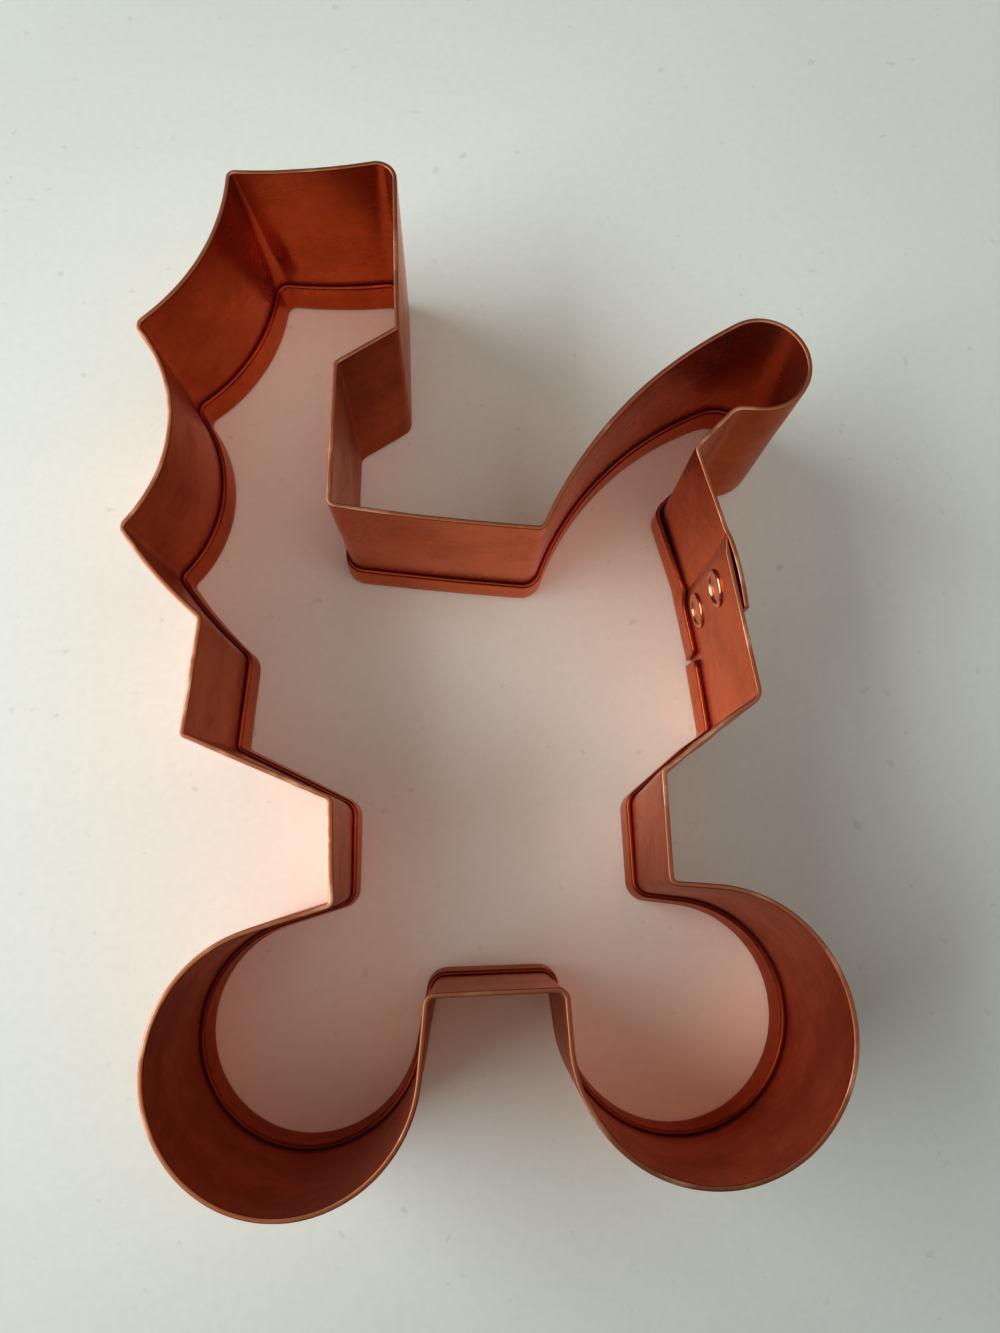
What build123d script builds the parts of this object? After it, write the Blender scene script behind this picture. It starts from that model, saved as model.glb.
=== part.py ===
from build123d import *
import math
import os

os.makedirs("parts", exist_ok=True)

# A pram-shaped cookie cutter: one copper strip with a hem, closed by two rivets.
# Millimetres, +Z up. It stands on its hem with the cutting edge up, and the origin
# is on the table under the middle of the outline. The outline is the strip's outer
# face, seen from above, and is followed counterclockwise, with the inside on the left.

# Overall size of the outline, and the strip's sheet and height
OUTLINE_WIDTH = 72.0
OUTLINE_LENGTH = 107.5
SHEET = 0.5
WALL_HEIGHT = 25.4

# The hem: the strip turns inwards and up, and leaves a narrow open pocket. Its fold
# is pressed, with a flat land between two slopes, each a share of its width
HEM_HEIGHT = 4.8
HEM_POCKET = 0.25
FOLD_SHARE = 0.3

# The lap: end A lies outside, end B lies inside it and stands in A's hem
LAP_LENGTH = 8.3
LAP_LEAN = 9.5
LAP_CLEARANCE = 0.05
LAP_TO_BEND = 1.15
END_LIFT = 0.12
HEM_RELIEF = 0.8
HEM_END_RADIUS = 0.9
LOWER_WALL_RUN = 17.4

# Bends of the outer face. An outward bend leaves room for the hem behind it
HEM_BEND = 0.15
INWARD_BEND = 0.8
BROW_RADIUS = 2.2
ELBOW_RADIUS = 1.8
SLIGHT_BEND_RADIUS = 12.0

# Rivets: a low head outside, and a hollow end rolled over inside
RIVET_HEIGHT_SHARES = (0.214, 0.68)
SHANK_DIAMETER = 2.4
HOLE_CLEARANCE = 0.03
SEAT_CLEARANCE = 0.02
HEAD_DIAMETER = 4.6
HEAD_HEIGHT = 0.7
HEAD_EDGE = 0.15
ROLL_DIAMETER = 4.8
ROLL_THICKNESS = 1.5
ROLL_HEIGHT = 0.65
BORE_DEPTH = 0.4
BORE_END_DIAMETER = 1.2

# Places in the outline, as shares of its width and length from the middle
END_A_SHARES = (0.379, 0.025)
NECK_SHARES = (0.325, 0.187)
TIP_CENTRE_SHARES = (0.425, 0.276)
NOTCH_FRONT_SHARES = (0.094, 0.106)
NOTCH_BACK_SHARES = (-0.207, 0.129)
HOOD_STEP_SHARES = (-0.203, 0.272)
HOOD_CHIN_SHARES = (-0.114, 0.310)
HOOD_BROW_SHARES = (-0.122, 0.505)
HOOD_BACK_SHARES = (-0.381, 0.487)
UPPER_PEAK_SHARES = (-0.507, 0.313)
LOWER_PEAK_SHARES = (-0.505, 0.104)
BODY_STEP_SHARES = (-0.386, 0.015)
BODY_BACK_SHARES = (-0.401, -0.095)
BACK_WAIST_SHARES = (-0.200, -0.153)
FRONT_WAIST_SHARES = (0.258, -0.129)
BACK_WHEEL_SHARES = (-0.249, -0.380)
FRONT_WHEEL_SHARES = (0.306, -0.355)

# Round stretches: how far each leaves the straight line between its corners
NOTCH_SAG = 0.25
HOOD_SAG = 0.6
UPPER_SCALLOP = 2.4
LOWER_SCALLOP = 4.4
TAIL_BULGE = 0.45

# Handle tip, with the elbow at an angle and a distance off its circle
TIP_RADIUS = 5.4
TIP_LEAVES_AT = 118
ELBOW_ANGLE = -119
ELBOW_STANDOFF = 0.6
HEM_CHANGE_FROM_NECK = 2.4
HEM_CHANGE_LENGTH = 1.6

# Wheels, with the corners beside them at an angle and a distance off their circles
BACK_WHEEL_RADIUS = 12.9
BACK_FOOT_ANGLE = 75
BACK_FOOT_STANDOFF = 2.3
BACK_AXLE_ANGLE = 24
BACK_AXLE_STANDOFF = 1.8
FRONT_WHEEL_RADIUS = 13.6
FRONT_FOOT_ANGLE = 103
FRONT_FOOT_STANDOFF = 0.6
FRONT_AXLE_ANGLE = 165
FRONT_AXLE_STANDOFF = 0.75

UP = Vector(0, 0, 1)


def place(shares):
    """A place in the outline, from its shares of the width and the length."""
    return Vector(shares[0] * OUTLINE_WIDTH, shares[1] * OUTLINE_LENGTH)


def around(centre, angle, distance):
    """A place at an angle and a distance from a centre, in the outline's plane."""
    return centre + Vector(distance, 0).rotate(Axis.Z, angle)


def touch_angle(corner, centre, radius, side):
    """The angle on a circle where a straight line from a corner touches it."""
    reach = corner - centre
    bearing = math.degrees(math.atan2(reach.Y, reach.X))
    return bearing + side * math.degrees(math.acos(radius / reach.length))


def inward(along):
    """The direction to the inside of the outline, for a direction along it."""
    return UP.cross(along).normalized()


def across(origin, along):
    """A plane across the strip: its x runs to the inside, its y up."""
    return Plane(origin=origin, x_dir=inward(along), z_dir=along)


def nearest(line, places):
    """The vertices of a line that lie nearest to the places."""
    return [line.vertices().sort_by_distance(spot)[0] for spot in places]


def hem_section(origin, along, pocket):
    """The wall and its hem, cut across the strip."""
    width = SHEET + pocket + SHEET
    with BuildSketch(across(origin, along)) as section:
        with BuildLine():
            Polyline(
                (0, 0),
                (0, WALL_HEIGHT),
                (SHEET, WALL_HEIGHT),
                (SHEET, SHEET),
                (SHEET + pocket, SHEET),
                (SHEET + pocket, HEM_HEIGHT),
                (width, HEM_HEIGHT),
                (width, 0),
                close=True,
            )
        make_face()
        chamfer(section.vertices().group_by(Axis.Y)[0], FOLD_SHARE * width)
    return section.sketch


def rivet_section(foot):
    """Half of a rivet, cut along its axis. Its x starts at the lap's outer face."""
    seat = SHEET + LAP_CLEARANCE + SHEET + SEAT_CLEARANCE
    roll_radius = ROLL_THICKNESS / 2
    roll_centre = ROLL_DIAMETER / 2 - roll_radius
    crown = (-SEAT_CLEARANCE - HEAD_HEIGHT, 0)
    rim = (-SEAT_CLEARANCE - HEAD_EDGE, HEAD_DIAMETER / 2)
    with BuildSketch(Plane(origin=foot, x_dir=lap_inward, z_dir=lap_inward.cross(UP))) as section:
        with BuildLine():
            TangentArc(crown, rim, tangent=(0, 1))
            Polyline(
                rim,
                (-SEAT_CLEARANCE, HEAD_DIAMETER / 2),
                (-SEAT_CLEARANCE, SHANK_DIAMETER / 2),
                (seat, SHANK_DIAMETER / 2),
                (seat, ROLL_DIAMETER / 2),
            )
            roll = EllipticalCenterArc(
                (seat, roll_centre), ROLL_HEIGHT, roll_radius, 90, arc_size=-180
            )
            Polyline(
                roll @ 1,
                (seat - BORE_DEPTH, BORE_END_DIAMETER / 2),
                (seat - BORE_DEPTH, 0),
                crown,
            )
        make_face()
    return section.sketch


# The lap: its direction, its two ends and the body's front corner below it
end_a = place(END_A_SHARES)
down_wall = Vector(0, -1).rotate(Axis.Z, LAP_LEAN)
lap_inward = inward(-down_wall)
end_b = end_a - down_wall * LAP_LENGTH + lap_inward * (SHEET + LAP_CLEARANCE)
hem_b_end = end_b + down_wall * (LAP_LENGTH + HEM_RELIEF)
front_corner = end_b + down_wall * LOWER_WALL_RUN

# Below the neck the wide hem of the lap narrows to the usual one
neck = place(NECK_SHARES)
slight_bend = end_a - down_wall * (LAP_LENGTH + LAP_TO_BEND)
to_neck = (neck - slight_bend).normalized()
usual_start = neck - to_neck * HEM_CHANGE_FROM_NECK
wide_end = usual_start - to_neck * HEM_CHANGE_LENGTH
wide_pocket = LAP_CLEARANCE + SHEET + LAP_CLEARANCE

# Handle: the elbow, and where its straight run touches the tip
tip_centre = place(TIP_CENTRE_SHARES)
elbow = around(tip_centre, ELBOW_ANGLE, TIP_RADIUS + ELBOW_STANDOFF)
tip_start = touch_angle(elbow, tip_centre, TIP_RADIUS, 1)
notch_front = place(NOTCH_FRONT_SHARES)

# Hood and body corners
notch_back = place(NOTCH_BACK_SHARES)
hood_step = place(HOOD_STEP_SHARES)
hood_chin = place(HOOD_CHIN_SHARES)
hood_brow = place(HOOD_BROW_SHARES)
hood_back = place(HOOD_BACK_SHARES)
upper_peak = place(UPPER_PEAK_SHARES)
lower_peak = place(LOWER_PEAK_SHARES)
body_step = place(BODY_STEP_SHARES)
body_back = place(BODY_BACK_SHARES)
back_waist = place(BACK_WAIST_SHARES)
front_waist = place(FRONT_WAIST_SHARES)

# Back wheel: the corners beside it, and where their straight runs touch it
back_centre = place(BACK_WHEEL_SHARES)
back_foot = around(back_centre, BACK_FOOT_ANGLE, BACK_WHEEL_RADIUS + BACK_FOOT_STANDOFF)
back_axle = around(back_centre, BACK_AXLE_ANGLE, BACK_WHEEL_RADIUS + BACK_AXLE_STANDOFF)
back_start = touch_angle(back_foot, back_centre, BACK_WHEEL_RADIUS, 1)
back_end = touch_angle(back_axle, back_centre, BACK_WHEEL_RADIUS, -1)
back_turn = (back_end - back_start) % 360

# Front wheel, the same way
front_centre = place(FRONT_WHEEL_SHARES)
front_foot = around(front_centre, FRONT_FOOT_ANGLE, FRONT_WHEEL_RADIUS + FRONT_FOOT_STANDOFF)
front_axle = around(front_centre, FRONT_AXLE_ANGLE, FRONT_WHEEL_RADIUS + FRONT_AXLE_STANDOFF)
front_start = touch_angle(front_axle, front_centre, FRONT_WHEEL_RADIUS, 1)
front_end = touch_angle(front_foot, front_centre, FRONT_WHEEL_RADIUS, -1)
front_turn = (front_end - front_start) % 360

# The outline with the usual hem, from below the neck round to end B
outward_corners = [hood_chin, hood_back, upper_peak, lower_peak, body_back, front_corner]
hood_inward_corners = [neck, notch_front, notch_back, hood_step, body_step]
wheel_inward_corners = [back_waist, back_foot, back_axle, front_axle, front_foot, front_waist]
with BuildLine() as outline:
    Polyline(usual_start, neck, elbow)
    tip = CenterArc(tip_centre, TIP_RADIUS, tip_start, TIP_LEAVES_AT - tip_start)
    Line(elbow, tip @ 0)
    TangentArc(tip @ 1, notch_front, tangent=tip % 1)
    SagittaArc(notch_front, notch_back, NOTCH_SAG)
    Polyline(notch_back, hood_step, hood_chin, hood_brow)
    SagittaArc(hood_brow, hood_back, HOOD_SAG)
    SagittaArc(hood_back, upper_peak, UPPER_SCALLOP)
    SagittaArc(upper_peak, lower_peak, LOWER_SCALLOP)
    SagittaArc(lower_peak, body_step, -TAIL_BULGE)
    Polyline(body_step, body_back, back_waist, back_foot)
    back = CenterArc(back_centre, BACK_WHEEL_RADIUS, back_start, back_turn)
    Line(back_foot, back @ 0)
    Polyline(back @ 1, back_axle, front_axle)
    front = CenterArc(front_centre, FRONT_WHEEL_RADIUS, front_start, front_turn)
    Line(front_axle, front @ 0)
    Polyline(front @ 1, front_foot, front_waist, front_corner, hem_b_end)
    fillet(nearest(outline, [hood_brow]), BROW_RADIUS)
    fillet(nearest(outline, [elbow]), ELBOW_RADIUS)
    fillet(nearest(outline, outward_corners), SHEET + HEM_POCKET + SHEET + HEM_BEND)
    fillet(nearest(outline, hood_inward_corners + wheel_inward_corners), INWARD_BEND)
outline_path = outline.wires()[0]

# The outline of end A, where the hem is wide enough to hold end B
with BuildLine() as end_a_outline:
    Polyline(end_a, slight_bend, wide_end)
    fillet(nearest(end_a_outline, [slight_bend]), SLIGHT_BEND_RADIUS)
end_a_path = end_a_outline.wires()[0]

# Heights of the rivets, as shares of the plain wall between hem and cutting edge
lower_share, upper_share = RIVET_HEIGHT_SHARES
plain_height = WALL_HEIGHT - HEM_HEIGHT
lower_height = HEM_HEIGHT + lower_share * plain_height
upper_height = HEM_HEIGHT + upper_share * plain_height
rivet_foot = end_a - down_wall * (LAP_LENGTH / 2)

# Copper band: the usual hem and the wide hem, with rounded corners where they are cut
# off, then the change between them, end B and the holes
with BuildPart() as copper_band:
    sweep(hem_section(outline_path @ 0, outline_path % 0, HEM_POCKET), path=outline_path)
    sweep(hem_section(end_a_path @ 0, end_a_path % 0, wide_pocket), path=end_a_path)
    cut_ends = copper_band.edges().filter_by(Axis(end_a, lap_inward))
    fillet(cut_ends.filter_by_position(Axis.Z, HEM_HEIGHT, HEM_HEIGHT), HEM_END_RADIUS)
    wide_face = hem_section(wide_end, to_neck, wide_pocket)
    usual_face = hem_section(usual_start, to_neck, HEM_POCKET)
    loft([wide_face, usual_face], ruled=True)
    with BuildSketch(across(end_b, -down_wall)):
        with Locations((0, WALL_HEIGHT)):
            Rectangle(SHEET, WALL_HEIGHT - SHEET - END_LIFT, align=(Align.MIN, Align.MAX))
    extrude(amount=-(LAP_LENGTH + HEM_RELIEF))
    with BuildSketch(Plane(origin=rivet_foot, x_dir=down_wall, z_dir=lap_inward)):
        with Locations((0, lower_height), (0, upper_height)):
            Circle(SHANK_DIAMETER / 2 + HOLE_CLEARANCE)
    extrude(amount=SHEET + LAP_CLEARANCE + SHEET, mode=Mode.SUBTRACT)
copper_band.part.label = "copper_band"
export_step(copper_band.part, "parts/copper_band.step")

# Lower rivet, just above the hem
lower_place = rivet_foot + UP * lower_height
with BuildPart() as lower_rivet:
    revolve(rivet_section(lower_place), axis=Axis(lower_place, lap_inward))
lower_rivet.part.label = "lower_rivet"
export_step(lower_rivet.part, "parts/lower_rivet.step")

# Upper rivet, near the cutting edge
upper_place = rivet_foot + UP * upper_height
with BuildPart() as upper_rivet:
    revolve(rivet_section(upper_place), axis=Axis(upper_place, lap_inward))
upper_rivet.part.label = "upper_rivet"
export_step(upper_rivet.part, "parts/upper_rivet.step")
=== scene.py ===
import math
from collections import namedtuple

import bmesh
import bpy
import numpy as np
from mathutils import Matrix, Vector, noise


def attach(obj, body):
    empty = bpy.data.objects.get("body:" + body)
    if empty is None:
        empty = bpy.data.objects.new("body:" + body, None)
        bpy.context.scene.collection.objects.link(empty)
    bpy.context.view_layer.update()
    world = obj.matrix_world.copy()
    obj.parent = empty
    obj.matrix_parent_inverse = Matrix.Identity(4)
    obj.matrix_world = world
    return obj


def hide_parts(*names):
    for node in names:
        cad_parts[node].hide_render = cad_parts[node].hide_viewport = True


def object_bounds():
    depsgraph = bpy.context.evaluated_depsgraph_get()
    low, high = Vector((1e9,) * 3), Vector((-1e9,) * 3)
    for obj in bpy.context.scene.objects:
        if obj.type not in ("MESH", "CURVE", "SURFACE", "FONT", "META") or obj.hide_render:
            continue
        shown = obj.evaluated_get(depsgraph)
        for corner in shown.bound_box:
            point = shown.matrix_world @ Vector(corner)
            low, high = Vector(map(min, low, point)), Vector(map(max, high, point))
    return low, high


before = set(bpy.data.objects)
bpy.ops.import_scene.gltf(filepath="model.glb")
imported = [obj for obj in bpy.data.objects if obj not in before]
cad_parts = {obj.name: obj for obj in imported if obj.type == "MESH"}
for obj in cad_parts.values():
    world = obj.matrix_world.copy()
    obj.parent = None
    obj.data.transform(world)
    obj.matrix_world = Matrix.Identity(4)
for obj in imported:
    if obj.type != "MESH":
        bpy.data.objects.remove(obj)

bl_info = {
    "name": "Pram cookie cutter",
    "version": (1, 0, 0),
    "blender": (4, 5, 0),
    "location": "View3D > Sidebar > Cutter",
    "description": "Copper strip with a hem and a riveted lap, its rivets, and the table it stands on",
    "category": "Object",
}

MM = 0.001
CAD_LOW, CAD_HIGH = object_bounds()

# The outline is followed counterclockwise, seen from above, with the inside on the left.
# A bend: its place as shares of the outline's width and length from the middle. Then in
# millimetres its radius at the cutting edge and at the hem, how far its foot stands from its
# top, and how far the hem's lip stands off the wall. Last, how dark the copper is made there,
# as a share: partly tarnish, and partly painted shade, most where the walls lie in shade, as
# in the wheels and the hood. The place of hem_end follows from the lap
Bend = namedtuple("Bend", "width_share length_share edge_radius hem_radius lean mouth patina")
BENDS = {
    "slight_bend": Bend(0.357, 0.112, 9.0, 9.0, (0.5, 0.1), 0.08, 0.00),
    "neck": Bend(0.325, 0.187, 0.8, 1.0, (0.45, 0.55), 0.25, 0.05),
    "elbow": Bend(0.384, 0.227, 1.6, 2.2, (0.2, 0.45), 0.06, 0.35),
    "notch_front": Bend(0.094, 0.106, 0.7, 1.4, (-0.1, 0.45), 0.06, 0.00),
    "notch_back": Bend(-0.207, 0.129, 0.6, 1.4, (0.1, 0.0), 0.03, 0.15),
    "hood_step": Bend(-0.203, 0.272, 0.6, 1.2, (0.0, 0.0), 0.05, 0.75),
    "hood_chin": Bend(-0.114, 0.310, 0.6, 1.8, (0.0, 0.0), 0.05, 0.60),
    "hood_brow": Bend(-0.122, 0.505, 2.2, 2.6, (0.0, -1.7), 0.07, 0.00),
    "hood_back": Bend(-0.381, 0.487, 0.9, 2.2, (1.55, 0.1), 0.05, 0.15),
    "upper_peak": Bend(-0.506, 0.313, 1.1, 2.0, (0.1, 0.65), 0.04, 0.30),
    "lower_peak": Bend(-0.505, 0.104, 0.9, 1.9, (-0.35, 1.1), 0.04, 0.60),
    "body_step": Bend(-0.386, 0.015, 0.6, 1.1, (0.1, 0.2), 0.07, 0.55),
    "body_back": Bend(-0.401, -0.095, 0.5, 1.8, (0.3, 1.0), 0.07, 0.15),
    "back_waist": Bend(-0.200, -0.153, 0.5, 1.1, (-0.4, 0.4), 0.04, 0.00),
    "back_foot": Bend(-0.194, -0.243, 0.4, 1.0, (-0.9, 0.3), 0.01, 0.65),
    "back_axle": Bend(-0.062, -0.324, 0.7, 1.1, (0.3, -0.6), 0.01, 0.85),
    "front_axle": Bend(0.113, -0.320, 0.7, 1.1, (0.1, -0.7), 0.01, 0.65),
    "front_foot": Bend(0.262, -0.226, 0.5, 1.1, (0.35, -1.1), 0.02, 0.75),
    "front_waist": Bend(0.258, -0.129, 0.5, 1.3, (0.25, -1.75), 0.08, 0.00),
    "front_corner": Bend(0.392, -0.059, 1.4, 2.0, (0.2, -1.1), 0.10, 0.00),
    "hem_end": Bend(0.3735, 0.0259, 2.0, 2.0, (0.5, 0.1), 0.08, 0.00),
}

# What lies between two bends, where it isn't straight. An arc leaves its straight line by
# its sag, to the inside. A circle is left where a straight line to the next bend touches it,
# or else at an angle, given at the cutting edge and at the hem, for an arc to that bend
Arc = namedtuple("Arc", "edge_sag hem_sag")
Circle = namedtuple("Circle", "width_share length_share edge_radius hem_radius lean leaves_at")
HANDLE_TIP = Circle(0.425, 0.276, 5.4, 5.4, (0.0, 0.1), (118, 111))
BACK_WHEEL = Circle(-0.249, -0.380, 12.9, 12.9, (-0.3, 0.5), None)
FRONT_WHEEL = Circle(0.306, -0.355, 13.6, 13.35, (0.25, -1.1), None)
OUTLINE = (
    ("slight_bend", None),
    ("neck", None),
    ("elbow", HANDLE_TIP),
    ("notch_front", Arc(0.25, 0.1)),
    ("notch_back", None),
    ("hood_step", None),
    ("hood_chin", None),
    ("hood_brow", Arc(0.6, 0.6)),
    ("hood_back", Arc(2.4, 2.7)),
    ("upper_peak", Arc(4.4, 4.7)),
    ("lower_peak", Arc(-0.45, -0.45)),
    ("body_step", None),
    ("body_back", None),
    ("back_waist", None),
    ("back_foot", BACK_WHEEL),
    ("back_axle", None),
    ("front_axle", FRONT_WHEEL),
    ("front_foot", None),
    ("front_waist", None),
    ("front_corner", None),
    ("hem_end", None),
)
# Where end A stands, as shares of the outline's width and length
END_A_SHARES = (0.379, 0.025)

# Nowhere is the hem's mouth narrower than this, in millimetres
NARROWEST_MOUTH = 0.01

# Fine steps of the strip's mesh: along a run and the fewest there, round a bend, and points
# of a curved stretch. A line's direction is taken over a short step
RUN_STEP = 0.55 * MM
FEWEST_STEPS = 5
BEND_STEPS = 12
CURVE_POINTS = 300
WAY_STEP = 0.05 * MM


def length_setting(name, description, default):
    return bpy.props.FloatProperty(
        name=name, description=description, default=default, unit="LENGTH", precision=5
    )


def share_setting(name, description, default):
    return bpy.props.FloatProperty(
        name=name, description=description, default=default, subtype="FACTOR", min=0.0, max=1.0
    )


def colour_setting(name, description, default):
    return bpy.props.FloatVectorProperty(
        name=name, description=description, default=default, subtype="COLOR", size=3,
        min=0.0, max=1.0,
    )


def angle_setting(name, description, degrees):
    return bpy.props.FloatProperty(
        name=name, description=description, default=math.radians(degrees), subtype="ANGLE"
    )


class BandSettings(bpy.types.PropertyGroup):
    """Sizes of the copper strip."""

    width: length_setting("Width", "Outline's width", CAD_HIGH.x - CAD_LOW.x)
    length: length_setting("Length", "Outline's length", 107.5 * MM)
    height: length_setting("Height", "Strip's height", CAD_HIGH.z - CAD_LOW.z)
    sheet: length_setting("Sheet", "Thickness of the copper sheet", 0.5 * MM)
    hem_height: length_setting("Hem height", "How far the sheet is folded back", 4.8 * MM)
    pocket: length_setting("Pocket", "Gap between the wall and its hem", 0.25 * MM)
    wide_pocket: length_setting("Wide pocket", "The same gap where it holds end B", 0.6 * MM)
    lap: length_setting("Lap", "How far end A covers end B", 8.3 * MM)
    lap_gap: length_setting("Lap gap", "Gap between the two layers of the lap", 0.05 * MM)
    lap_lean: angle_setting("Lap lean", "Angle of the lap's wall in plan", 9.5)
    hem_relief: length_setting("Hem relief", "How far end B's hem is cut back", 0.8 * MM)
    joggle: length_setting("Joggle", "How far both ends step outwards in the lap", 0.3 * MM)
    spring: length_setting("Spring", "How far end A bulges off over the rivets", 0.24 * MM)
    bow: length_setting("Bow", "Unevenness of the walls between hem and edge", 0.13 * MM)
    edge_wave: length_setting("Edge wave", "Unevenness of the cutting edge", 0.07 * MM)
    hem_wave: length_setting("Hem wave", "Unevenness of the hem's lip", 0.05 * MM)


class RivetSettings(bpy.types.PropertyGroup):
    """Sizes of the two hollow rivets."""

    lower_share: share_setting("Lower rivet", "Its height, as a share of the plain wall", 0.214)
    upper_share: share_setting("Upper rivet", "Its height, as a share of the plain wall", 0.68)
    shank: length_setting("Shank", "Diameter of the shank", 2.4 * MM)
    head: length_setting("Head", "Diameter of the head outside", 4.6 * MM)
    head_height: length_setting("Head height", "Height of the head outside", 0.7 * MM)
    roll: length_setting("Roll", "Diameter of the end rolled over inside", 4.3 * MM)
    roll_height: length_setting("Roll height", "How far the rolled end stands out", 0.32 * MM)
    bore: length_setting("Bore", "Diameter of the hollow inside the roll", 3.1 * MM)
    floor: length_setting("Floor", "Height of the hollow's floor over the sheet", 0.02 * MM)


class CopperSettings(bpy.types.PropertyGroup):
    """Colours and finish of the copper."""

    base: colour_setting("Copper", "Clean rolled copper", (0.62, 0.115, 0.030))
    tarnish: colour_setting("Tarnish", "Copper gone dark", (0.28, 0.030, 0.006))
    bright: colour_setting("Rubbed", "Copper rubbed bright", (0.88, 0.45, 0.28))
    edge: colour_setting("Cut edge", "Dull cut edge of the sheet", (0.42, 0.13, 0.06))
    rivet: colour_setting("Rivet copper", "Copper of the rivets", (0.82, 0.34, 0.20))
    # Painted light: a paler colour that the copper shows only to rays from the table, for brighter light
    # thrown on it
    painted_table_glow: colour_setting("Glow", "Colour of the light it throws on the table", (1.0, 0.42, 0.25))
    film: share_setting("Film", "How much light its thin dull film scatters", 0.04)
    film_colour: colour_setting("Film colour", "Colour of the thin dull film", (1.0, 0.55, 0.35))
    graze: colour_setting("Grazing tint", "Tint of its mirroring at a flat angle", (1.0, 0.74, 0.63))
    # The darker colour of the hem's mouth and of the inner wall just above it
    mouth_dark: colour_setting("Grime", "Colour of the dirt in the hem's mouth", (0.28, 0.035, 0.01))
    roughness: share_setting("Roughness", "Roughness of the rolled sheet", 0.20)
    grain_depth: length_setting("Grain depth", "Depth of the rolling lines", 0.0003 * MM)


class StageSettings(bpy.types.PropertyGroup):
    """Table, lamps and camera."""

    table_colour: colour_setting("Table", "Pale table top", (0.80, 0.81, 0.75))
    table_size: length_setting("Table size", "Side of the square table top", 1.4)
    key_power: bpy.props.FloatProperty(
        name="Window", description="Power of the broad lamp at the left", default=9.0,
        unit="POWER",
    )
    key_width: length_setting("Window width", "Width of the broad lamp", 0.9)
    key_height: length_setting("Window height", "Height of the broad lamp", 0.6)
    key_colour: colour_setting("Window colour", "Colour of the broad lamp", (0.90, 1.0, 1.0))
    sky_colour: colour_setting("Room light", "Colour of the light all round", (0.98, 0.97, 0.92))
    sky_strength: bpy.props.FloatProperty(
        name="Room strength", description="Strength of the light from the sides", default=0.05
    )
    overhead_strength: bpy.props.FloatProperty(
        name="Overhead strength", description="Strength of the light from above", default=1.1
    )


def settings(name):
    return getattr(bpy.context.scene, name)


# Lines of the outline, in metres. Each is made twice: at the cutting edge, foot 0, and at the
# table, foot 1


def turned(v):
    """A direction turned a quarter to the left."""
    return np.array((-v[1], v[0]))


def between(pair, share):
    """A value between two, such as those at the cutting edge and at the hem."""
    return pair[0] + share * (pair[1] - pair[0])


def spot(item, foot, band):
    """Where a bend or a circle's centre lies."""
    top = np.array((item.width_share * band.width, item.length_share * band.length))
    return top + foot * np.array(item.lean) * MM


def radius_at(item, foot):
    """The radius of a bend or a circle."""
    return between((item.edge_radius, item.hem_radius), foot) * MM


def straight(p, q):
    return p + (q - p) * np.linspace(0, 1, CURVE_POINTS)[:, None]


def sagged(p, q, sag):
    """A round arc from p to q that leaves their straight line by its sag, to the left."""
    chord = q - p
    half = np.hypot(*chord) / 2
    radius = (half * half + sag * sag) / (2 * sag)
    x = np.linspace(-half, half, CURVE_POINTS)
    y = np.sign(sag) * np.sqrt(radius * radius - x * x) - (radius - sag)
    along = chord / (2 * half)
    return (p + q) / 2 + x[:, None] * along + y[:, None] * turned(along)


def round_arc(centre, radius, start, turn):
    a = np.linspace(start, start + turn, CURVE_POINTS)[:, None]
    return centre + radius * np.hstack((np.cos(a), np.sin(a)))


def touch_angle(corner, centre, radius, side):
    """The angle on a circle where a straight line from a corner touches it."""
    reach = corner - centre
    return math.atan2(reach[1], reach[0]) + side * math.acos(radius / np.hypot(*reach))


def leaving_arc(start, direction, q):
    """The round arc that leaves start in a direction and ends at q, bending to the left."""
    chord = q - start
    radius = (chord @ chord) / (2 * (chord @ turned(direction)))
    centre = start + turned(direction) * radius
    first = math.atan2(*(start - centre)[::-1])
    turn = (math.atan2(*(q - centre)[::-1]) - first) % (2 * math.pi)
    return round_arc(centre, radius, first, turn)


def circle_run(p, q, circle, foot, band):
    """From p straight to a circle, round it, and on to q."""
    centre = spot(circle, foot, band)
    radius = radius_at(circle, foot)
    start = touch_angle(p, centre, radius, 1)
    stop = touch_angle(q, centre, radius, -1)
    if circle.leaves_at:
        stop = math.radians(between(circle.leaves_at, foot))
    arc = round_arc(centre, radius, start, (stop - start) % (2 * math.pi))
    rest = straight(arc[-1], q)
    if circle.leaves_at:
        rest = leaving_arc(arc[-1], np.array((-math.sin(stop), math.cos(stop))), q)
    return np.vstack((straight(p, arc[0])[:-1], arc, rest[1:]))


def lengths(line):
    """Length along a line at each of its points."""
    return np.concatenate(([0], np.cumsum(np.linalg.norm(np.diff(line, axis=0), axis=1))))


def at(line, distance):
    """The place at a distance along a line, or the places at several."""
    d = lengths(line)
    return np.stack([np.interp(distance, d, line[:, i]) for i in (0, 1)], axis=-1)


def way(line, distance):
    """A line's direction at a distance along it."""
    ahead = at(line, min(distance + WAY_STEP, lengths(line)[-1]))
    v = ahead - at(line, max(distance - WAY_STEP, 0))
    return v / np.hypot(*v)


def lap_way(band):
    """The direction of the lap's wall in plan, from the handle towards the wheels."""
    return np.array((math.sin(band.lap_lean), -math.cos(band.lap_lean)))


def end_a_spot(foot, band):
    """Where end A stands."""
    top = np.array((END_A_SHARES[0] * band.width, END_A_SHARES[1] * band.length))
    return top + foot * np.array(BENDS["hem_end"].lean) * MM


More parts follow.
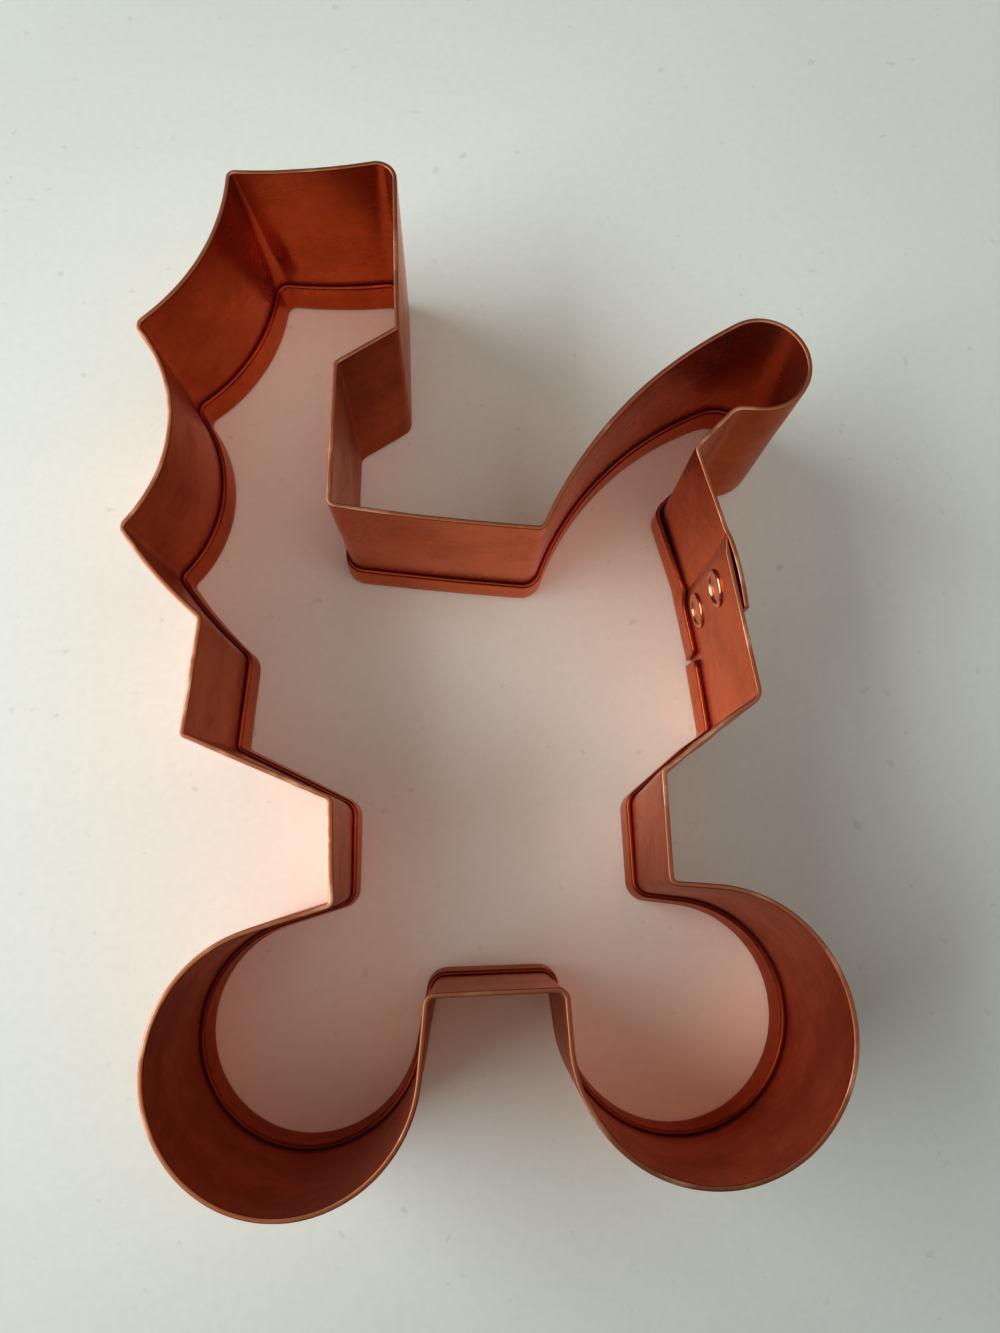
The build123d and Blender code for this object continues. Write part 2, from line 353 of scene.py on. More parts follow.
def outline_runs(foot, band):
    """The strip's runs from end A to end B, and the radius of each bend between them."""
    down = lap_way(band)
    end_a = end_a_spot(foot, band)
    end_b = end_a - down * band.lap + turned(-down) * (band.sheet + band.lap_gap)
    places = {name: spot(bend, foot, band) for name, bend in BENDS.items()}
    places["hem_end"] = end_b + down * (band.lap + band.hem_relief)
    stops = [places[name] for name, _ in OUTLINE] + [end_b]
    runs = [straight(end_a, stops[0])]
    for (_, form), p, q in zip(OUTLINE, stops, stops[1:]):
        if form is None:
            runs.append(straight(p, q))
        elif isinstance(form, Arc):
            runs.append(sagged(p, q, between(form, foot) * MM))
        else:
            runs.append(circle_run(p, q, form, foot, band))
    return runs, [radius_at(BENDS[name], foot) for name, _ in OUTLINE]


def soft_bend(p, a, b, q):
    """A curve from p to q, without both, that leaves p towards a and reaches q from b."""
    t = np.linspace(0, 1, BEND_STEPS + 1)[1:-1, None]
    return (1 - t) ** 3 * p + 3 * (1 - t) ** 2 * t * a + 3 * (1 - t) * t**2 * b + t**3 * q


def trace(runs, radii, counts):
    """One line along the runs, with a round bend between each two."""
    # What a bend takes off each run, and the handles with which its curve is nearly round
    cuts = []
    for one, two, radius in zip(runs, runs[1:], radii):
        turn = math.acos(min(1.0, way(one, lengths(one)[-1]) @ way(two, 0)))
        cuts.append((radius * math.tan(turn / 2), radius * 4 / 3 * math.tan(turn / 4)))
    parts = []
    for i, line in enumerate(runs):
        begin = cuts[i - 1][0] if i else 0
        end = lengths(line)[-1] - (cuts[i][0] if i < len(cuts) else 0)
        parts.append(at(line, np.linspace(begin, end, counts[i] + 1)))
        if i < len(cuts):
            cut, handle = cuts[i]
            p, q = at(line, end), at(runs[i + 1], cut)
            a, b = p + way(line, end) * handle, q - way(runs[i + 1], cut) * handle
            parts.append(soft_bend(p, a, b, q))
    return np.vstack(parts)


def inward_ways(line):
    along = np.gradient(line, axis=0)
    along /= np.hypot(*along.T)[:, None]
    return np.stack((-along[:, 1], along[:, 0]), axis=-1)


# The strip's path: its line at the cutting edge and at the hem, the ways inwards from both,
# the length along it at each ring and at each bend, and the ring where end B's hem is cut
Path = namedtuple("Path", "edge_line hem_line edge_in hem_in along bend_at cut")


def strip_path(band):
    """Where the strip runs, from end A to end B."""
    edge_runs, edge_radii = outline_runs(0.0, band)
    hem_runs, hem_radii = outline_runs(1.0, band)
    counts = [max(FEWEST_STEPS, round(lengths(run)[-1] / RUN_STEP)) for run in edge_runs]
    edge_line = trace(edge_runs, edge_radii, counts)
    hem_line = trace(hem_runs, hem_radii, counts)
    along = lengths(edge_line) / MM
    bend_at = {}
    step = 0
    for (name, _), count in zip(OUTLINE, counts):
        step += count + BEND_STEPS // 2
        bend_at[name] = along[step]
        step += BEND_STEPS // 2
    cut = len(edge_line) - counts[-1] - 1
    edge_in, hem_in = inward_ways(edge_line), inward_ways(hem_line)
    return Path(edge_line, hem_line, edge_in, hem_in, along, bend_at, cut)


def from_bends(path, what):
    """A value that each bend gives, spread along the strip."""
    values = [getattr(BENDS[name], what) for name in path.bend_at]
    return np.interp(path.along, list(path.bend_at.values()), values)


# The strip's section, inwards and up, in millimetres. The wall's steps are for a strip of
# 25.4 mm, and the first is the top of the fold. A rounding is a place across the sheet and
# its distance below the top. The pocket's bottom and the fold under it go by angles, in
# degrees, and the fold is squarer than round by two powers
WALL_STEPS = (
    0.62, 1.3, 2.3, 3.4, 4.4, 5.3, 6.5, 8.0, 9.6, 11.2, 12.8, 14.4, 16.0, 17.6, 19.2, 20.8,
    22.2, 23.4, 24.3, 24.9, 25.15, 25.28,
)
FOLD_TOP = WALL_STEPS[0]
LIP_STEPS = (1.3, 2.3, 3.4, 4.2, 4.6)
EDGE_ROUNDING = (
    (0.02, 0.06), (0.08, 0.02), (0.17, 0.0), (0.35, 0.0), (0.44, 0.015), (0.485, 0.06),
)
LIP_ROUNDING = (
    (0.01, 0.10), (0.06, 0.03), (0.16, 0.0), (0.30, 0.01), (0.42, 0.06), (0.48, 0.18),
)
POCKET_ANGLES = (205, 240, 270, 300, 335)
FOLD_ANGLES = (0, -22, -45, -68, -90, -112, -135, -158)
FOLD_POWERS = (0.75, 0.85)
WALL_PARTS = ("outer", "edge", "inner")


def section_loop(band):
    """The section's points in order: the name of a part, a place across it or angle, a height."""
    sheet, height, hem = band.sheet / MM, band.height / MM, band.hem_height / MM
    loop = [("outer", 0.0, z) for z in WALL_STEPS]
    loop += [("edge", s, height - d) for s, d in EDGE_ROUNDING]
    loop += [("inner", sheet, z) for z in reversed(WALL_STEPS)]
    loop += [("pocket", a, 0.0) for a in POCKET_ANGLES]
    loop += [("lip_in", 0.0, z) for z in (FOLD_TOP, *LIP_STEPS)]
    loop += [("lip_top", s, hem - d) for s, d in LIP_ROUNDING]
    loop += [("lip_out", sheet, z) for z in reversed(LIP_STEPS)]
    loop += [("fold", a, 0.0) for a in FOLD_ANGLES]
    return loop


# Soft changes along the strip and up its wall: where each starts, counted from the place that
# it is used with, and how long it takes, in millimetres
Change = namedtuple("Change", "start length")
LAP_STEP = Change(-1.2, 2.4)
LAP_MOUTH = Change(-2.4, 2.6)
CUT_OPENING = Change(-5.0, 4.0)
END_A_CORNER = Change(0.0, 0.5)
CUT_CORNER = Change(-0.8, 0.8)
PAST_NECK = Change(0.0, 6.0)
BEFORE_END_B = Change(-32.0, 8.0)
CORNER_STEP = Change(-4.0, 4.0)
END_B_TAPER = Change(-2.4, 2.4)
OVER_HEM = Change(0.0, 6.0)
UNDER_EDGE = Change(-6.4, 6.0)
SPRING_ZONE = Change(-5.1, 4.6)
WAVE_ZONE = Change(-1.4, 1.2)
NICK_ZONE = Change(-0.6, 0.5)
BURR_START = Change(0.0, 1.5)
BURR_STOP = Change(-1.5, 1.5)

# Unevenness: its seed, and how long it is along the strip and across it, in millimetres
Wave = namedtuple("Wave", "seed long tall", defaults=[1.0])
BROAD_BOW = Wave(1.0, 17.0, 15.0)
FINE_BOW = Wave(2.0, 6.0, 9.0)
LIP_WAVE = Wave(3.0, 9.0)
EDGE_WAVE = Wave(5.0, 5.0)
FINE_EDGE_WAVE = Wave(6.0, 1.3)
NICKS = Wave(7.0, 0.8)
LIP_WEAR = Wave(8.0, 14.0)
FINE_NICKS = Wave(9.0, 0.35)

# How much finer unevenness adds to the broad, as a share
FINE_BOW_SHARE, FINE_WAVE_SHARE, FINE_NICK_SHARE = 0.4, 0.5, 0.7

# The hem, in millimetres: how much wider its pocket is where it is cut, how far its lip's
# corners and its top are worn down, and the heights from which the lip leans and is worn
CUT_WIDENING = 0.05
END_A_DROP, CUT_DROP, LIP_DROP = 0.25, 0.45, 0.12
LIP_FOOT, WEAR_FOOT = 1.0, 3.0

# The wall, as shares: how much its edge holds it from bowing, how much end A's corner adds to
# its bulge, how much end B thins out, and how the edge's wave is spread below its top
EDGE_HOLD = 0.6
CORNER_SPRING = 0.3
END_B_THINNING = 0.96
WAVE_SPREAD, WAVE_MIDDLE = 0.6, 0.5
# In millimetres: how far end B's thin end lies outwards, and the depth of nicks, without and
# with a burr
END_B_SHIFT = 0.04
NICK_DEPTH, BURR_DEPTH = 0.004, 0.07

# Dents: the bend they lie near, how far past it, their height, their two half-sizes and depth
Dent = namedtuple("Dent", "bend past height long tall depth")
DENTS = (
    Dent("hood_back", -4.0, 11.0, 3.0, 5.5, 0.45),
    Dent("hood_back", -1.0, 8.0, 1.6, 4.5, -0.30),
    Dent("hood_back", 5.0, 12.0, 4.0, 5.0, 0.25),
    Dent("lower_peak", 3.0, 17.0, 2.5, 5.0, -0.22),
    Dent("notch_back", -8.0, 12.0, 6.0, 6.0, 0.15),
    Dent("back_waist", 3.0, 15.0, 2.5, 6.0, 0.20),
    Dent("front_corner", -4.0, 9.0, 3.0, 4.0, 0.2),
)
# Burrs of the cutting edge: the bend they lie past, from where to where
BURRS = (("back_waist", -6.0, 6.5), ("body_step", 1.0, 9.0), ("front_waist", -2.0, 3.0))


def smooth(x):
    x = np.clip(x, 0, 1)
    return x * x * (3 - 2 * x)


def rising(values, place, change):
    """0 before a change near a place, and 1 after it."""
    return smooth((values - place - change.start) / change.length)


def falling(values, place, change):
    """1 before a change near a place, and 0 after it."""
    return 1 - rising(values, place, change)


def noise_grid(along, across, wave):
    """Soft unevenness between about -1 and 1, for each place of a grid."""
    out = np.empty((len(along), len(across)))
    for i, a in enumerate(along):
        for j, z in enumerate(across):
            out[i, j] = noise.noise(Vector((a / wave.long, z / wave.tall, wave.seed)))
    return out


def noise_line(along, wave, fine_wave=None, fine_share=0.0):
    """The same along the strip alone, with finer unevenness added."""
    out = noise_grid(along, (0.0,), wave)[:, 0]
    if fine_wave:
        out = out + fine_share * noise_line(along, fine_wave)
    return out


def past_lap(path):
    """1 where the strip runs free, and 0 near the lap."""
    return rising(path.along, path.bend_at["neck"], PAST_NECK) * falling(
        path.along, path.along[-1], BEFORE_END_B
    )


def hem_gaps(path, band):
    """Widths of the pocket inside the hem and of its mouth, along the strip."""
    along, lap = path.along, band.lap / MM
    usual, wide = band.pocket / MM, band.wide_pocket / MM
    pocket = usual + (wide - usual) * falling(along, lap, LAP_STEP)
    pocket += CUT_WIDENING * rising(along, along[path.cut], CUT_OPENING)
    mouth = from_bends(path, "mouth")
    mouth += (wide - mouth) * falling(along, lap, LAP_MOUTH)
    return pocket, np.minimum(mouth, pocket)


def lip_shape(path, band, pocket, mouth):
    """How far the lip's top leans inwards, and how far it is worn down, along the strip."""
    along = path.along
    wave = noise_line(along, LIP_WAVE) * band.hem_wave / MM * past_lap(path)
    lean = np.maximum(wave, NARROWEST_MOUTH - mouth) + mouth - pocket
    drop = END_A_DROP * falling(along, 0.0, END_A_CORNER) ** 2
    drop += CUT_DROP * rising(along, along[path.cut], CUT_CORNER) ** 2
    drop += LIP_DROP * (noise_line(along, LIP_WEAR) + 1) / 2
    return lean, drop


def even_section(loop, path, band, pocket, mouth):
    """Distances inwards and up of every section point at every ring, before the wall's wear."""
    sheet, hem = band.sheet / MM, band.hem_height / MM
    lean, drop = lip_shape(path, band, pocket, mouth)
    across = np.zeros((len(path.along), len(loop)))
    up = np.zeros_like(across)
    for k, (part, s, z) in enumerate(loop):
        if part in WALL_PARTS:
            across[:, k] = s
            up[:, k] = z
        elif part == "pocket":
            a = math.radians(s)
            across[:, k] = sheet + pocket / 2 * (1 + math.cos(a))
            up[:, k] = FOLD_TOP + pocket / 2 * math.sin(a)
        elif part == "fold":
            sideways, down = math.cos(math.radians(s)), math.sin(math.radians(s))
            round_x = math.copysign(abs(sideways) ** FOLD_POWERS[0], sideways)
            across[:, k] = (sheet + pocket / 2) * (1 + round_x)
            up[:, k] = FOLD_TOP * (1 - abs(down) ** FOLD_POWERS[1])
        else:
            share = (z - LIP_FOOT) / (hem - LIP_FOOT)
            worn = (z - WEAR_FOOT) / (hem - WEAR_FOOT)
            across[:, k] = sheet + pocket + s + max(share, 0) * lean
            up[:, k] = z - max(worn, 0) * drop
    return across, up


def bulges(path, band, heights, wall):
    """How far the walls stand outwards by bow, dents and end A's spring."""
    along, height = path.along, band.height / MM
    window = rising(heights, band.hem_height / MM, OVER_HEM)
    window *= (1 - EDGE_HOLD * rising(heights, height, UNDER_EDGE)) * wall
    levels = np.unique(heights[wall])
    bow = noise_grid(along, levels, BROAD_BOW)
    bow += FINE_BOW_SHARE * noise_grid(along, levels, FINE_BOW)
    bow = bow[:, np.searchsorted(levels, np.where(wall, heights, levels[0]))]
    out = bow * window * (band.bow / MM) * past_lap(path)[:, None]
    for dent in DENTS:
        far = ((along - path.bend_at[dent.bend] - dent.past) / dent.long)[:, None] ** 2
        far = far + ((heights - dent.height) / dent.tall) ** 2
        out -= dent.depth * np.exp(-far) * window
    free = np.clip(1 - along / (band.lap / MM), 0, 1)[:, None]
    spring = np.sin(math.pi * free) + CORNER_SPRING * free
    return out + spring * rising(heights, height, SPRING_ZONE) * wall * band.spring / MM


def burr_depth(path):
    """Depth of the cutting edge's nicks along the strip."""
    burr = np.zeros(len(path.along))
    for name, begin, end in BURRS:
        past = path.along - path.bend_at[name]
        here = rising(past, begin, BURR_START) * falling(past, end, BURR_STOP)
        burr = np.maximum(burr, here)
    return NICK_DEPTH + BURR_DEPTH * burr


def strip_grid(path, loop, band, pocket, mouth):
    """Places of the strip as a grid of rings and section points, in metres."""
    along, height = path.along, band.height / MM
    wall = np.array([part in WALL_PARTS for part, _, _ in loop])
    heights = np.array([z for _, _, z in loop])
    across, up = even_section(loop, path, band, pocket, mouth)

    # End B thins out, the walls bulge, and both ends of the strip step outwards for the lap
    thinned = rising(along, along[-1], END_B_TAPER)[:, None]
    across *= np.where(wall, 1 - END_B_THINNING * thinned, 1)
    across -= np.where(wall, END_B_SHIFT * thinned, 0)
    across -= bulges(path, band, heights, wall)
    stepped = falling(along, band.lap / MM, LAP_STEP)
    stepped += rising(along, path.bend_at["front_corner"], CORNER_STEP)
    across -= (stepped * band.joggle / MM)[:, None]

    # The cutting edge waves a little, and is nicked
    waves = noise_line(along, EDGE_WAVE, FINE_EDGE_WAVE, FINE_WAVE_SHARE)
    waves = np.clip(waves * WAVE_SPREAD + WAVE_MIDDLE, 0, 1) * band.edge_wave / MM
    up -= waves[:, None] * rising(heights, height, WAVE_ZONE) * wall
    nicks = noise_line(along, NICKS, FINE_NICKS, FINE_NICK_SHARE) * burr_depth(path)
    across += nicks[:, None] * rising(heights, height, NICK_ZONE) * wall

    share = np.clip(1 - up / height, 0, 1)[:, :, None]
    place = between((path.edge_line[:, None], path.hem_line[:, None]), share)
    inwards = between((path.edge_in[:, None], path.hem_in[:, None]), share)
    inwards /= np.linalg.norm(inwards, axis=2, keepdims=True)
    plan = place + inwards * across[:, :, None] * MM
    grid = np.concatenate((plan, up[:, :, None] * MM), axis=2)
    return np.clip(grid, np.array(CAD_LOW), np.array(CAD_HIGH))


# How much a part takes the look of a worn edge and of the darker colour in the hem's mouth.
# The edge's two outermost points take less. On the inner wall the darker colour goes by height,
# in millimetres, and is thinner where the mouth is narrow
WORN_PARTS = {"edge": 1.0, "lip_top": 0.38, "fold": 0.4}
EDGE_ENDS = (EDGE_ROUNDING[0][0], EDGE_ROUNDING[-1][0])
EDGE_END_WEAR = 0.3
DARK_MOUTH_PARTS = {"pocket": 1.0, "lip_in": 1.0, "lip_top": 0.8}
DARK_MOUTH_HEIGHTS, DARK_MOUTH_SHARES = (3.0, 4.6, 5.6), (1.0, 0.8, 0.0)
OPEN_MOUTH = 0.08
LEAST_MOUTH_DARK = 0.3


def wear_share(part, across):
    if part == "edge" and across in EDGE_ENDS:
        return EDGE_END_WEAR
    return WORN_PARTS.get(part, 0.0)


def mouth_dark_share(part, z, mouth):
    if part != "inner":
        return DARK_MOUTH_PARTS.get(part, 0.0)
    return np.interp(z, DARK_MOUTH_HEIGHTS, DARK_MOUTH_SHARES) * np.clip(mouth / OPEN_MOUTH, LEAST_MOUTH_DARK, 1.0)


def mark_points(mesh, name, values):
    """Gives each point a number that the materials read."""
    mesh.attributes.new(name, "FLOAT", "POINT").data.foreach_set("value", values)


# Two maps of the flat sheet. One is to scale, with ten millimetres to a unit, for patterns.
# The other lies in rows inside a unit square, with a margin at each side, for baking
MAP_UNIT = 10
BAKE_ROWS = 3
BAKE_LEFT, BAKE_WIDTH = 0.005, 0.99
BAKE_FOOT, BAKE_HEIGHT = 0.01, 0.96


def map_strip(mesh, corners, along, whole_round):
    """Lays the strip flat. A corner is its ring and its length round the sheet."""
    strip_map = mesh.uv_layers.new(name="strip")
    bake_map = mesh.uv_layers.new(name="OFBake")
    last = len(along) - 1
    per_row = math.ceil(last / BAKE_ROWS)
    starts = [along[row * per_row] for row in range(BAKE_ROWS)]
    stops = [along[min((row + 1) * per_row, last)] for row in range(BAKE_ROWS)]
    row_length = max(stop - start for start, stop in zip(starts, stops))
    for polygon, corner in zip(mesh.polygons, corners):
        row = min(min(i for i, _ in corner) // per_row, BAKE_ROWS - 1)
        for index, (i, across) in zip(polygon.loop_indices, corner):
            strip_map.data[index].uv = (along[i] / MAP_UNIT, across / MAP_UNIT)
            bake_map.data[index].uv = (
                BAKE_LEFT + BAKE_WIDTH * (along[i] - starts[row]) / row_length,
                (row + BAKE_FOOT + BAKE_HEIGHT * across / whole_round) / BAKE_ROWS,
            )


# A ring where the hem has its usual width, for the lengths round the sheet
USUAL_RING = 40


def copper_band_mesh(band):
    """The strip as one closed mesh, with its wear, its darker hem mouth, its tarnish and painted shade,
    and its maps.
    """
    path = strip_path(band)
    loop = section_loop(band)
    pocket, mouth = hem_gaps(path, band)
    grid = strip_grid(path, loop, band, pocket, mouth)
    rings, size = grid.shape[:2]
    wall_size = sum(part in WALL_PARTS for part, _, _ in loop)
    usual = grid[USUAL_RING]
    round_way = lengths(usual) / MM
    whole_round = round_way[-1] + np.linalg.norm(usual[0] - usual[-1]) / MM

    # Past the ring where end B's hem is cut, the section is the wall alone
    points = [
        (i, k) for i in range(rings) for k in range(size if i <= path.cut else wall_size)
    ]
    used = {point: index for index, point in enumerate(points)}
    faces = []
    corners = []
    for i in range(rings - 1):
        ring_size = size if i < path.cut else wall_size
        for k in range(ring_size):
            n = (k + 1) % ring_size
            faces.append((used[i, k], used[i, n], used[i + 1, n], used[i + 1, k]))
            far = whole_round if n == 0 else round_way[n]
            corners.append(((i, round_way[k]), (i, far), (i + 1, far), (i + 1, round_way[k])))
    smooth_faces = len(faces)
    flat_ends = (
        [(0, k) for k in reversed(range(size))],
        [(path.cut, 0)] + [(path.cut, k) for k in range(wall_size - 1, size)],
        [(rings - 1, k) for k in range(wall_size)],
    )
    for end in flat_ends:
        faces.append([used[point] for point in end])
        corners.append([(i, round_way[k]) for i, k in end])

    mesh = bpy.data.meshes.new("copper_band")
    mesh.from_pydata([tuple(grid[point]) for point in points], [], faces)
    mesh.update()
    flags = [index < smooth_faces for index in range(len(faces))]
    mesh.polygons.foreach_set("use_smooth", flags)
    map_strip(mesh, corners, path.along, whole_round)

    # Each bend's darkness: partly tarnish, partly painted shade where the walls lie in shade
    dark = from_bends(path, "patina")
    mark_points(mesh, "edge", [wear_share(*loop[k][:2]) for _, k in points])
    mark_points(mesh, "mouth_dark", [mouth_dark_share(loop[k][0], loop[k][2], mouth[i]) for i, k in points])
    mark_points(mesh, "patina", [dark[i] for i, _ in points])
    return mesh


# Materials. A pattern: its scale, detail and roughness, the two values between which it goes
# from none to full, and how it is stretched. Patterns of the copper count in centimetres
Pattern = namedtuple(
    "Pattern", "scale detail roughness low high stretch", defaults=[0.0, 1.0, (1.0, 1.0, 1.0)]
)
BROAD_BLOTCHES = Pattern(1.1, 4.0, 0.6, 0.38, 0.72)
FINE_BLOTCHES = Pattern(5.5, 5.0, 0.65, 0.35, 0.75)
ROLLING_LINES = Pattern(6.0, 3.0, 0.6, 0.35, 0.7, (0.12, 5.0, 1.0))
FINE_LINES = Pattern(22.0, 2.0, 0.5, stretch=(0.06, 4.0, 1.0))
SCRATCHES = Pattern(7.0, 2.0, 0.5, 0.68, 0.76, (6.0, 0.35, 1.0))
RUBBED_PATCHES = Pattern(2.2, 3.0, 0.5, 0.5, 0.8)
UNEVEN_MOUTH_DARK = Pattern(4.0, 3.0, 0.6)
TABLE_GRAIN = Pattern(900.0, 3.0, 0.6, 0.3, 0.7)
TABLE_SPECKS = Pattern(420.0, 2.0, 0.5, 0.68, 0.76)
CENTIMETRES = (100.0, 100.0, 100.0)

# Shares of the patterns in their groups, and where wear and the darker hem mouth begin and are full
BROAD_SHARE, FINE_SHARE = 0.65, 0.35
FINE_LINE_SHARE = 0.5
MOUTH_DARK_PATTERN_SHARE = 0.5
DARKEST_MOUTH = 0.85
WEAR_RANGE = (0.25, 0.9)
MOUTH_DARK_RANGE = (0.5, 1.3)

# Roughness: of the dull film and of worn edges, and what full tarnish and a streak add
FILM_ROUGHNESS = 0.6
EDGE_ROUGHNESS = 0.5
TARNISH_ROUGHNESS = 0.22
STREAK_ROUGHNESS = 0.03

# The copper's amounts of tarnish and scratches, and its bumps
SHEET_TARNISH, RIVET_TARNISH = 0.5, 0.35
SCRATCH_AMOUNT = 0.6
GRAIN_STRENGTH = 0.6
RIVET_GRAIN_DEPTH = 0.006 * MM

# The table: how bright its darker grain and its specks are, how strong the specks are, and
# from where to where and by how much painted shade darkens it away from the part
GRAIN_SHADE, SPECK_SHADE = 0.97, 0.72
SPECK_STRENGTH = 0.5
SHADE_FALLOFF_RANGE, SHADE_FALLOFF_DARKNESS = (0.055, 0.115), 0.14
TABLE_ROUGHNESS = 0.5
TABLE_BUMP, TABLE_BUMP_DEPTH = 0.3, 0.03 * MM

BLACK = (0, 0, 0, 1)

# Sockets of a Mix node: its factor, and its two numbers or its two colours and their result
MIX_FACTOR, NUMBER_A, NUMBER_B, COLOUR_A, COLOUR_B, MIXED_COLOUR = 0, 2, 3, 6, 7, 2


def new_material(name):
    """A material, its nodes and its shader."""
    material = bpy.data.materials.new(name)
    material.use_nodes = True
    tree = material.node_tree
    shader = next(node for node in tree.nodes if node.type == "BSDF_PRINCIPLED")
    return material, tree, shader


def new_group(name, inputs, outputs):
    """A node group with named sockets, and its input and output nodes."""
    tree = bpy.data.node_groups.new(name, "ShaderNodeTree")
    for label, kind, default in inputs:
        socket = tree.interface.new_socket(label, in_out="INPUT", socket_type=kind)
        if default is not None:
            socket.default_value = default
    for label, kind in outputs:
        tree.interface.new_socket(label, in_out="OUTPUT", socket_type=kind)
    return tree, tree.nodes.new("NodeGroupInput"), tree.nodes.new("NodeGroupOutput")


def feed(tree, socket, value):
    """Links a socket to another, or sets it to a number or a colour."""
    if isinstance(value, bpy.types.NodeSocket):
        tree.links.new(value, socket)
    else:
        socket.default_value = value


def add(tree, kind, **values):
    """A node with its properties and sockets set by name."""
    node = tree.nodes.new(kind)
    for key, value in values.items():
        if hasattr(node, key):
            setattr(node, key, value)
        else:
            feed(tree, node.inputs[key], value)
    return node


def math_node(tree, operation, *values, clamp=False):
    node = add(tree, "ShaderNodeMath", operation=operation, use_clamp=clamp)
    for socket, value in zip(node.inputs, values):
        feed(tree, socket, value)
    return node.outputs[0]


def mix_colour(tree, factor, a, b):
    node = add(tree, "ShaderNodeMix", data_type="RGBA")
    for index, value in ((MIX_FACTOR, factor), (COLOUR_A, a), (COLOUR_B, b)):
        feed(tree, node.inputs[index], value)
    return node.outputs[MIXED_COLOUR]


def ramp(tree, value, low, high, bottom=0.0, top=1.0):
    """Turns a value into bottom below low and top above high, softly."""
    node = add(tree, "ShaderNodeMapRange", interpolation_type="SMOOTHSTEP", Value=value)
    for label, number in (("From Min", low), ("From Max", high), ("To Min", bottom), ("To Max", top)):
        node.inputs[label].default_value = number
    return node.outputs[0]


def noise_texture(tree, place, pattern):
    mapping = add(tree, "ShaderNodeMapping", Vector=place, Scale=pattern.stretch)
    node = add(
        tree, "ShaderNodeTexNoise", Scale=pattern.scale, Detail=pattern.detail,
        Roughness=pattern.roughness, Vector=mapping.outputs[0],
    )
    return node.outputs[0]


def patches(tree, place, pattern):
    """A pattern that goes from none to full between its two values."""
    return ramp(tree, noise_texture(tree, place, pattern), pattern.low, pattern.high)


def tarnish_group():
    """Blotches of darker and paler copper, with each bend's darkness added, partly painted shade."""
    tree, start, end = new_group(
        "Tarnish",
        [
            ("Place", "NodeSocketVector", None),
            ("Clean", "NodeSocketColor", (0.8, 0.4, 0.2, 1)),
            ("Tarnished", "NodeSocketColor", (0.4, 0.1, 0.1, 1)),
            ("Amount", "NodeSocketFloat", 0.5),
            ("Patina", "NodeSocketFloat", 0.0),
            ("Roughness", "NodeSocketFloat", 0.3),
        ],
        [("Color", "NodeSocketColor"), ("Roughness", "NodeSocketFloat")],
    )
    given = start.outputs
    broad = patches(tree, given["Place"], BROAD_BLOTCHES)
    fine = patches(tree, given["Place"], FINE_BLOTCHES)
    broad = math_node(tree, "MULTIPLY", broad, BROAD_SHARE)
    blotches = math_node(tree, "ADD", broad, math_node(tree, "MULTIPLY", fine, FINE_SHARE))
    blotches = math_node(tree, "MULTIPLY", blotches, given["Amount"])
    # Each bend's darkness, partly painted shade, adds to the blotches
    amount = math_node(tree, "ADD", blotches, given["Patina"], clamp=True)
    colour = mix_colour(tree, amount, given["Clean"], given["Tarnished"])
    rough = math_node(tree, "MULTIPLY_ADD", amount, TARNISH_ROUGHNESS, given["Roughness"])
    tree.links.new(colour, end.inputs["Color"])
    tree.links.new(rough, end.inputs["Roughness"])
    return tree


def grain_group():
    """Fine lines that the rolling mill leaves along the sheet, and stray scratches."""
    tree, start, end = new_group(
        "Rolling grain",
        [("Place", "NodeSocketVector", None), ("Scratches", "NodeSocketFloat", 0.5)],
        [("Height", "NodeSocketFloat"), ("Streak", "NodeSocketFloat")],
    )
    place = start.outputs["Place"]
    lines = noise_texture(tree, place, ROLLING_LINES)
    fine = math_node(tree, "MULTIPLY", noise_texture(tree, place, FINE_LINES), FINE_LINE_SHARE)
    scratch = patches(tree, place, SCRATCHES)
    scratch = math_node(tree, "MULTIPLY", scratch, start.outputs["Scratches"])
    height = math_node(tree, "SUBTRACT", math_node(tree, "ADD", fine, lines), scratch)
    streak = ramp(tree, lines, ROLLING_LINES.low, ROLLING_LINES.high)
    tree.links.new(height, end.inputs["Height"])
    tree.links.new(streak, end.inputs["Streak"])
    return tree


def wear_group():
    """Dull and rubbed stretches where the sheet is cut or folded."""
    tree, start, end = new_group(
        "Edge wear",
        [
            ("Place", "NodeSocketVector", None),
            ("Edge", "NodeSocketFloat", 0.0),
            ("Color", "NodeSocketColor", (0.8, 0.4, 0.2, 1)),
            ("Dull", "NodeSocketColor", (0.4, 0.3, 0.2, 1)),
            ("Rubbed", "NodeSocketColor", (0.95, 0.7, 0.6, 1)),
            ("Roughness", "NodeSocketFloat", 0.3),
        ],
        [("Color", "NodeSocketColor"), ("Roughness", "NodeSocketFloat")],
    )
    given = start.outputs
    rubbed = patches(tree, given["Place"], RUBBED_PATCHES)
    worn = mix_colour(tree, rubbed, given["Dull"], given["Rubbed"])
    amount = ramp(tree, given["Edge"], *WEAR_RANGE)
    rough = add(tree, "ShaderNodeMix")
    for index, value in ((MIX_FACTOR, amount), (NUMBER_A, given["Roughness"]), (NUMBER_B, EDGE_ROUGHNESS)):
        feed(tree, rough.inputs[index], value)
    tree.links.new(mix_colour(tree, amount, given["Color"], worn), end.inputs["Color"])
    tree.links.new(rough.outputs[0], end.inputs["Roughness"])
    return tree


